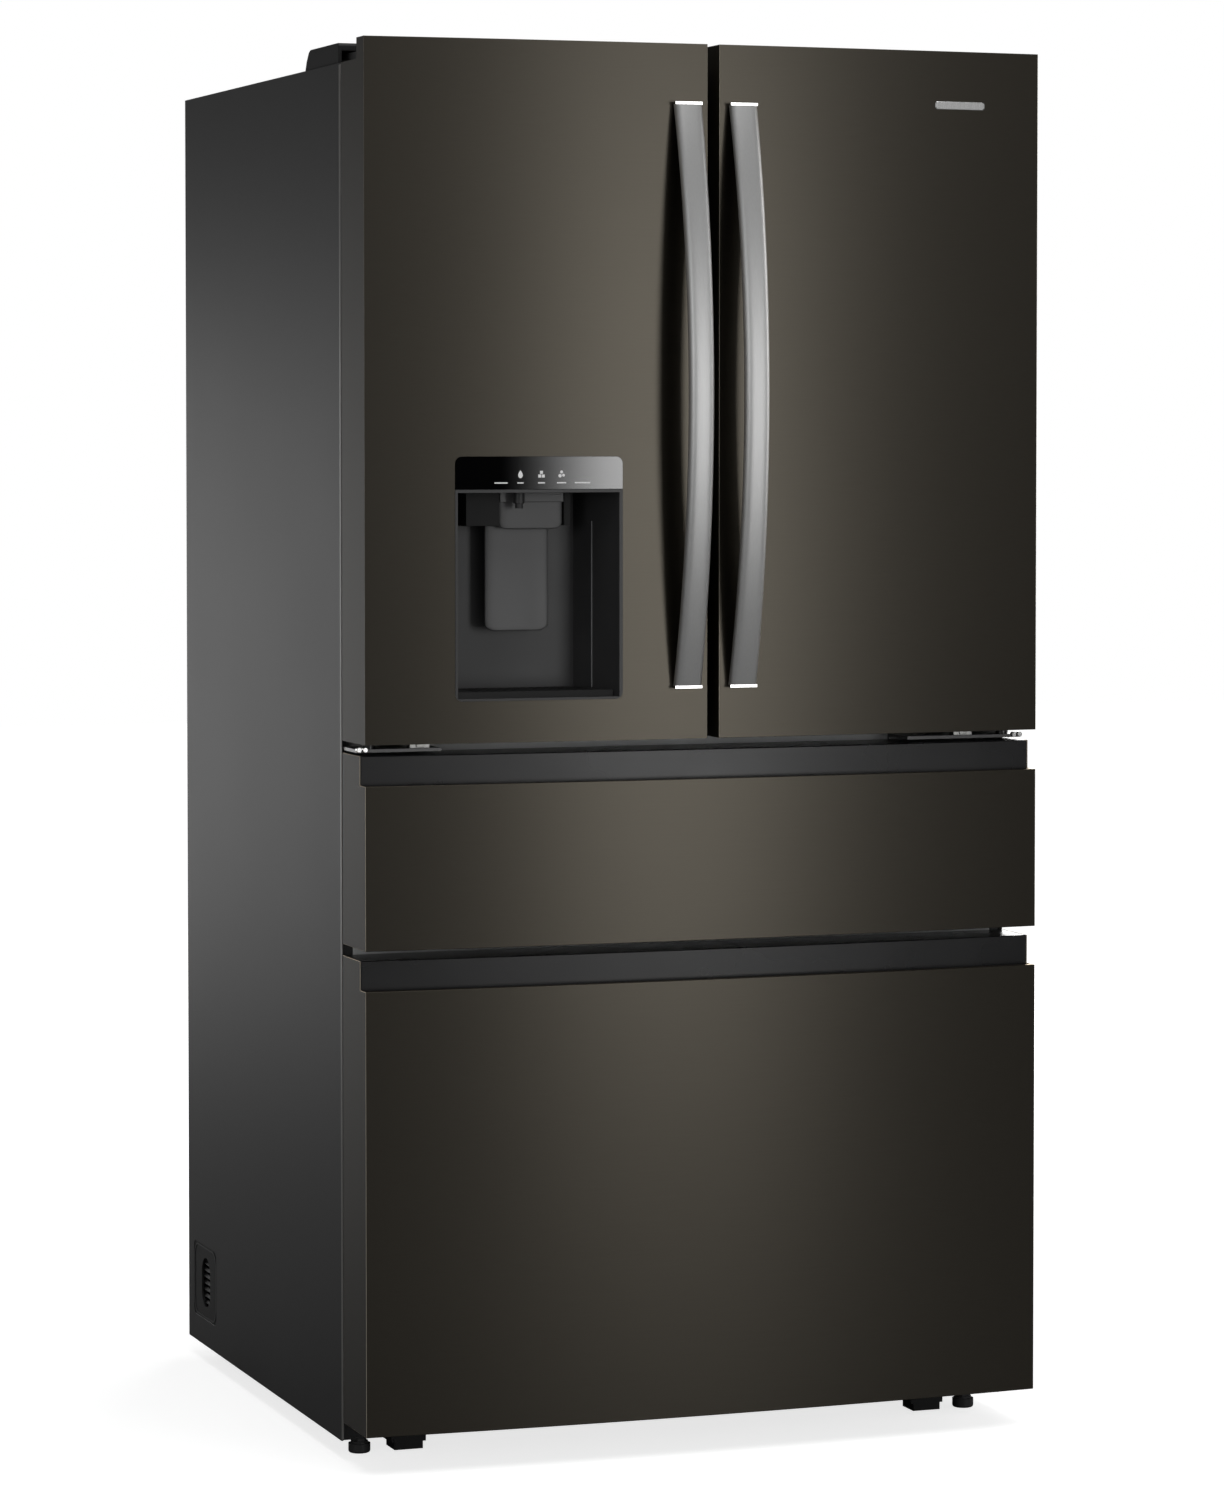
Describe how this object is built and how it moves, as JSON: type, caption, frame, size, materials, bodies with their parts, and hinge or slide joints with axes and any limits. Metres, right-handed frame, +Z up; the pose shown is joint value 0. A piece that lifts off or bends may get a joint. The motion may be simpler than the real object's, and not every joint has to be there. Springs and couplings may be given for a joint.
{
  "type": "french door refrigerator",
  "caption": "Free-standing refrigerator with two swinging upper doors, a water and ice dispenser, arched bar handles and two full-width drawers with recessed black pulls.",
  "frame": {"origin": "floor level, centred on the overall width and depth", "axes": "+X to the viewer's right, -Y out of the front, +Z up"},
  "size_m": [0.905, 0.939, 1.778],
  "materials": {
    "stainless": "dark brushed stainless sheet with a warm tint, horizontal grain",
    "handle_steel": "lighter brushed steel, satin, polished end faces",
    "cabinet_paint": "charcoal textured paint",
    "liner_white": "smooth white vacuum-formed plastic over foam",
    "back_sheet": "grey coated sheet",
    "zinc": "zinc-plated pressed steel",
    "black_plastic": "gloss black moulding",
    "dark_plastic": "fine-textured dark grey moulding",
    "panel_black": null,
    "shelf_glass": "tempered glass in a moulded edge",
    "clear_plastic": "clear moulded plastic",
    "gasket": "soft grey magnetic door seal",
    "aluminium_fin": "bare fins and tubes",
    "compressor_paint": "black stove enamel",
    "lamp": "frosted white lens",
    "wheel_rubber": "hard black roller",
    "grey_plastic": "grey moulding"
  },
  "bodies": {
    "cabinet": {"cabinet_shell": "cabinet_paint", "cabinet_liner": "liner_white", "back_panel": "back_sheet", "base_frame": "zinc", "machine_cover": "back_sheet", "side_vents": "dark_plastic", "hinge_covers": "black_plastic", "hinge_brackets": "zinc", "shelf_left": "shelf_glass", "shelf_right": "shelf_glass", "shelf_wide": "shelf_glass", "crisper_cover": "shelf_glass", "air_duct": "liner_white", "ceiling_lamp": "lamp", "evaporator": "aluminium_fin", "freezer_duct": "liner_white", "compressor": "compressor_paint", "condenser": "zinc", "water_valve": "dark_plastic", "cabinet_rails": "zinc"},
    "left_door": {"left_skin": "stainless", "left_liner": "liner_white", "left_gasket": "gasket", "left_handle": "handle_steel", "dispenser_housing": "dark_plastic", "control_panel": "panel_black", "nozzle": "dark_plastic", "drip_tray": "dark_plastic", "ice_bucket": "clear_plastic", "left_bin": "clear_plastic"},
    "right_door": {"right_skin": "stainless", "right_liner": "liner_white", "right_gasket": "gasket", "right_handle": "handle_steel", "right_bin_upper": "clear_plastic", "right_bin_lower": "clear_plastic"},
    "middle_drawer": {"middle_skin": "stainless", "middle_liner": "liner_white", "middle_gasket": "gasket", "middle_pull": "black_plastic", "middle_bin": "clear_plastic", "middle_rails": "zinc"},
    "freezer_drawer": {"freezer_skin": "stainless", "freezer_liner": "liner_white", "freezer_gasket": "gasket", "freezer_pull": "black_plastic", "freezer_basket": "clear_plastic"},
    "upper_tray": {"freezer_tray": "clear_plastic"},
    "mullion_bar": {"mullion": "grey_plastic"},
    "water_paddle": {"water_lever": "dark_plastic"},
    "ice_paddle": {"ice_lever": "dark_plastic"},
    "auger": {"ice_auger": "zinc"},
    "left_crisper": {"crisper_left": "clear_plastic"},
    "right_crisper": {"crisper_right": "clear_plastic"},
    "evap_fan": {"evaporator_fan": "grey_plastic"},
    "cond_fan": {"condenser_fan": "dark_plastic"},
    "front_wheels": {"front_rollers": "wheel_rubber"},
    "rear_wheels": {"rear_rollers": "wheel_rubber"},
    "left_foot": {"foot_left": "dark_plastic"},
    "right_foot": {"foot_right": "dark_plastic"}
  },
  "joints": [
    {"name": "left_door_swing", "type": "hinge", "parent": "cabinet", "child": "left_door", "pos_m": [-0.4305, -0.3325, 1.343], "axis": [0, 0, -1], "range_deg": [0, 120]},
    {"name": "right_door_swing", "type": "hinge", "parent": "cabinet", "child": "right_door", "pos_m": [0.4305, -0.3325, 1.343], "axis": [0, 0, 1], "range_deg": [0, 120]},
    {"name": "mullion_fold", "type": "hinge", "parent": "left_door", "child": "mullion_bar", "pos_m": [-0.036, -0.2735, 1.315], "axis": [0, 0, 1], "range_deg": [0, 90]},
    {"name": "middle_drawer_slide", "type": "slide", "parent": "cabinet", "child": "middle_drawer", "axis": [0, -1, 0], "range_m": [0, 0.38]},
    {"name": "freezer_drawer_slide", "type": "slide", "parent": "cabinet", "child": "freezer_drawer", "axis": [0, -1, 0], "range_m": [0, 0.4]},
    {"name": "upper_tray_slide", "type": "slide", "parent": "freezer_drawer", "child": "upper_tray", "axis": [0, 1, 0], "range_m": [0, 0.19]},
    {"name": "left_crisper_slide", "type": "slide", "parent": "cabinet", "child": "left_crisper", "axis": [0, -1, 0], "range_m": [0, 0.06]},
    {"name": "right_crisper_slide", "type": "slide", "parent": "cabinet", "child": "right_crisper", "axis": [0, -1, 0], "range_m": [0, 0.06]},
    {"name": "water_lever_push", "type": "hinge", "parent": "left_door", "child": "water_paddle", "pos_m": [-0.223, -0.3465, 1.21], "axis": [1, 0, 0], "range_deg": [0, 8], "stiffness_Nm_per_rad": 0.6},
    {"name": "ice_lever_push", "type": "hinge", "parent": "left_door", "child": "ice_paddle", "pos_m": [-0.236, -0.3305, 1.186], "axis": [1, 0, 0], "range_deg": [0, 8], "stiffness_Nm_per_rad": 0.8},
    {"name": "ice_auger_turn", "type": "hinge", "parent": "left_door", "child": "auger", "pos_m": [-0.2275, -0.2255, 1.352], "axis": [1, 0, 0], "continuous": true},
    {"name": "evaporator_fan_spin", "type": "hinge", "parent": "cabinet", "child": "evap_fan", "pos_m": [0, 0.3315, 0.522], "axis": [0, 1, 0], "continuous": true},
    {"name": "condenser_fan_spin", "type": "hinge", "parent": "cabinet", "child": "cond_fan", "pos_m": [-0.034, 0.3595, 0.116], "axis": [1, 0, 0], "continuous": true},
    {"name": "front_rollers_turn", "type": "hinge", "parent": "cabinet", "child": "front_wheels", "pos_m": [0.3575, -0.2435, 0.0135], "axis": [1, 0, 0], "continuous": true},
    {"name": "rear_rollers_turn", "type": "hinge", "parent": "cabinet", "child": "rear_wheels", "pos_m": [0.4, 0.4095, 0.02], "axis": [1, 0, 0], "continuous": true},
    {"name": "left_foot_turn", "type": "hinge", "parent": "cabinet", "child": "left_foot", "pos_m": [-0.4175, -0.2435, 0.02], "axis": [0, 0, 1], "continuous": true},
    {"name": "right_foot_turn", "type": "hinge", "parent": "cabinet", "child": "right_foot", "pos_m": [0.4175, -0.2435, 0.02], "axis": [0, 0, 1], "continuous": true}
  ],
  "couplings": [
    {"joint": "mullion_fold", "follows": "left_door_swing", "ratio": 0.75}
  ]
}
